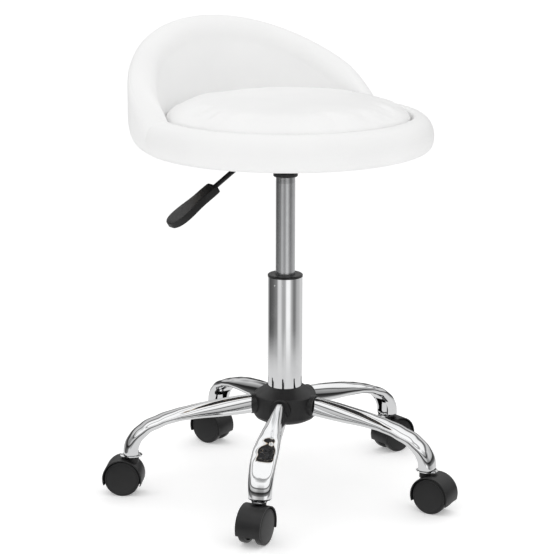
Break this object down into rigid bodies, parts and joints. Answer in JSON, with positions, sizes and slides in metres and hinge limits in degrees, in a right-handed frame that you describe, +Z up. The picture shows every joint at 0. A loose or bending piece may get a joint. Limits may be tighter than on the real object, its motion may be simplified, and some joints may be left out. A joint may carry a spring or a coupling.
{
  "type": "dentist stool",
  "caption": "Round padded stool with a low wrap-round back on a gas lift column and a five-leg chrome base with twin-wheel castors.",
  "frame": {"origin": "on the floor under the column axis", "axes": "+Z up along the column, the seat faces -Y with its back at +Y, the height lever points along -X"},
  "size_m": [0.5137, 0.5153, 0.6784],
  "materials": {
    "white_leather": "white coated upholstery leather, fine grain, satin",
    "chrome_tube": "bright chrome plate",
    "ground_steel": "ground steel",
    "weld_steel": "bare welded steel",
    "zinc_steel": "zinc plated steel",
    "black_paint": "black powder coat, satin",
    "black_plastic": "moulded black plastic, fine spark texture",
    "bush_plastic": "black acetal",
    "wheel_nylon": "black nylon, smooth tread",
    "black_rubber": "black rubber",
    "black_cloth": "black spun-bonded dust cloth",
    "plywood": "birch plywood"
  },
  "bodies": {
    "base": {"base_hub": "weld_steel", "leg_1": "chrome_tube", "leg_2": "chrome_tube", "leg_3": "chrome_tube", "leg_4": "chrome_tube", "leg_5": "chrome_tube", "stem_sockets": "chrome_tube", "hub_cover_upper": "black_plastic", "hub_cover_lower": "black_plastic", "column_tube": "chrome_tube", "column_bushing": "bush_plastic", "bearing_lower_race": "ground_steel", "bearing_balls": "ground_steel", "castor_1_stem": "ground_steel", "castor_2_stem": "ground_steel", "castor_3_stem": "ground_steel", "castor_4_stem": "ground_steel", "castor_5_stem": "ground_steel"},
    "rod": {"piston_rod": "ground_steel", "bearing_upper_race": "ground_steel", "bump_stop": "black_rubber", "rod_clip": "ground_steel"},
    "seat": {"gas_cylinder": "ground_steel", "taper_socket": "black_paint", "seat_plate": "black_paint", "plate_bolts": "zinc_steel", "tee_nuts": "zinc_steel", "seat_board": "plywood", "under_cover": "black_cloth", "lever_pin": "zinc_steel", "back_shell": "plywood", "shell_screws": "zinc_steel", "seat_cushion": "white_leather", "rim_upholstery": "white_leather", "back_upholstery": "white_leather"},
    "lever": {"lever_rod": "black_paint", "lever_grip": "black_plastic"},
    "valve": {"valve_pin": "ground_steel"},
    "castor_1": {"castor_1_hood": "black_plastic", "castor_1_axle": "ground_steel"},
    "castor_1_left": {"castor_1_wheel_left": "wheel_nylon"},
    "castor_1_right": {"castor_1_wheel_right": "wheel_nylon"},
    "castor_2": {"castor_2_hood": "black_plastic", "castor_2_axle": "ground_steel"},
    "castor_2_left": {"castor_2_wheel_left": "wheel_nylon"},
    "castor_2_right": {"castor_2_wheel_right": "wheel_nylon"},
    "castor_3": {"castor_3_hood": "black_plastic", "castor_3_axle": "ground_steel"},
    "castor_3_left": {"castor_3_wheel_left": "wheel_nylon"},
    "castor_3_right": {"castor_3_wheel_right": "wheel_nylon"},
    "castor_4": {"castor_4_hood": "black_plastic", "castor_4_axle": "ground_steel"},
    "castor_4_left": {"castor_4_wheel_left": "wheel_nylon"},
    "castor_4_right": {"castor_4_wheel_right": "wheel_nylon"},
    "castor_5": {"castor_5_hood": "black_plastic", "castor_5_axle": "ground_steel"},
    "castor_5_left": {"castor_5_wheel_left": "wheel_nylon"},
    "castor_5_right": {"castor_5_wheel_right": "wheel_nylon"}
  },
  "joints": [
    {"name": "seat_swivel", "type": "hinge", "parent": "base", "child": "rod", "pos_m": [0, 0, 0.114], "axis": [0, 0, 1], "continuous": true},
    {"name": "seat_height", "type": "slide", "parent": "rod", "child": "seat", "axis": [0, 0, 1], "range_m": [-0.14, 0]},
    {"name": "lever_lift", "type": "hinge", "parent": "seat", "child": "lever", "pos_m": [-0.045, 0, 0.5004], "axis": [0, 1, 0], "range_deg": [0, 5], "stiffness_Nm_per_rad": 3},
    {"name": "valve_press", "type": "slide", "parent": "seat", "child": "valve", "axis": [0, 0, -1], "range_m": [0, 0.0045]},
    {"name": "castor_1_swivel", "type": "hinge", "parent": "base", "child": "castor_1", "pos_m": [0.22123, 0.041, 0.0582], "axis": [0, 0, 1], "continuous": true},
    {"name": "castor_1_left_roll", "type": "hinge", "parent": "castor_1", "child": "castor_1_left", "pos_m": [0.23525, 0.055, 0.026], "axis": [-0.0349, 0.9994, 0], "continuous": true},
    {"name": "castor_1_right_roll", "type": "hinge", "parent": "castor_1", "child": "castor_1_right", "pos_m": [0.23619, 0.02802, 0.026], "axis": [-0.0349, 0.9994, 0], "continuous": true},
    {"name": "castor_2_swivel", "type": "hinge", "parent": "base", "child": "castor_2", "pos_m": [0.02937, 0.22307, 0.0582], "axis": [0, 0, 1], "continuous": true},
    {"name": "castor_2_left_roll", "type": "hinge", "parent": "castor_2", "child": "castor_2_left", "pos_m": [0.0116, 0.23184, 0.026], "axis": [-0.9348, -0.3551, 0], "continuous": true},
    {"name": "castor_2_right_roll", "type": "hinge", "parent": "castor_2", "child": "castor_2_right", "pos_m": [0.03684, 0.24142, 0.026], "axis": [-0.9348, -0.3551, 0], "continuous": true},
    {"name": "castor_3_swivel", "type": "hinge", "parent": "base", "child": "castor_3", "pos_m": [-0.20308, 0.09687, 0.0582], "axis": [0, 0, 1], "continuous": true},
    {"name": "castor_3_left_roll", "type": "hinge", "parent": "castor_3", "child": "castor_3_left", "pos_m": [-0.22287, 0.09584, 0.026], "axis": [-0.6428, -0.766, 0], "continuous": true},
    {"name": "castor_3_right_roll", "type": "hinge", "parent": "castor_3", "child": "castor_3_right", "pos_m": [-0.20551, 0.11653, 0.026], "axis": [-0.6428, -0.766, 0], "continuous": true},
    {"name": "castor_4_swivel", "type": "hinge", "parent": "base", "child": "castor_4", "pos_m": [-0.15488, -0.16321, 0.0582], "axis": [0, 0, 1], "continuous": true},
    {"name": "castor_4_left_roll", "type": "hinge", "parent": "castor_4", "child": "castor_4_left", "pos_m": [-0.16029, -0.18227, 0.026], "axis": [0.518, -0.8554, 0], "continuous": true},
    {"name": "castor_4_right_roll", "type": "hinge", "parent": "castor_4", "child": "castor_4_right", "pos_m": [-0.17428, -0.15917, 0.026], "axis": [0.518, -0.8554, 0], "continuous": true},
    {"name": "castor_5_swivel", "type": "hinge", "parent": "base", "child": "castor_5", "pos_m": [0.10736, -0.19773, 0.0582], "axis": [0, 0, 1], "continuous": true},
    {"name": "castor_5_left_roll", "type": "hinge", "parent": "castor_5", "child": "castor_5_left", "pos_m": [0.12567, -0.2053, 0.026], "axis": [0.9092, 0.4163, 0], "continuous": true},
    {"name": "castor_5_right_roll", "type": "hinge", "parent": "castor_5", "child": "castor_5_right", "pos_m": [0.10112, -0.21654, 0.026], "axis": [0.9092, 0.4163, 0], "continuous": true}
  ],
  "couplings": [
    {"joint": "valve_press", "follows": "lever_lift", "m_per_rad": 0.045}
  ]
}
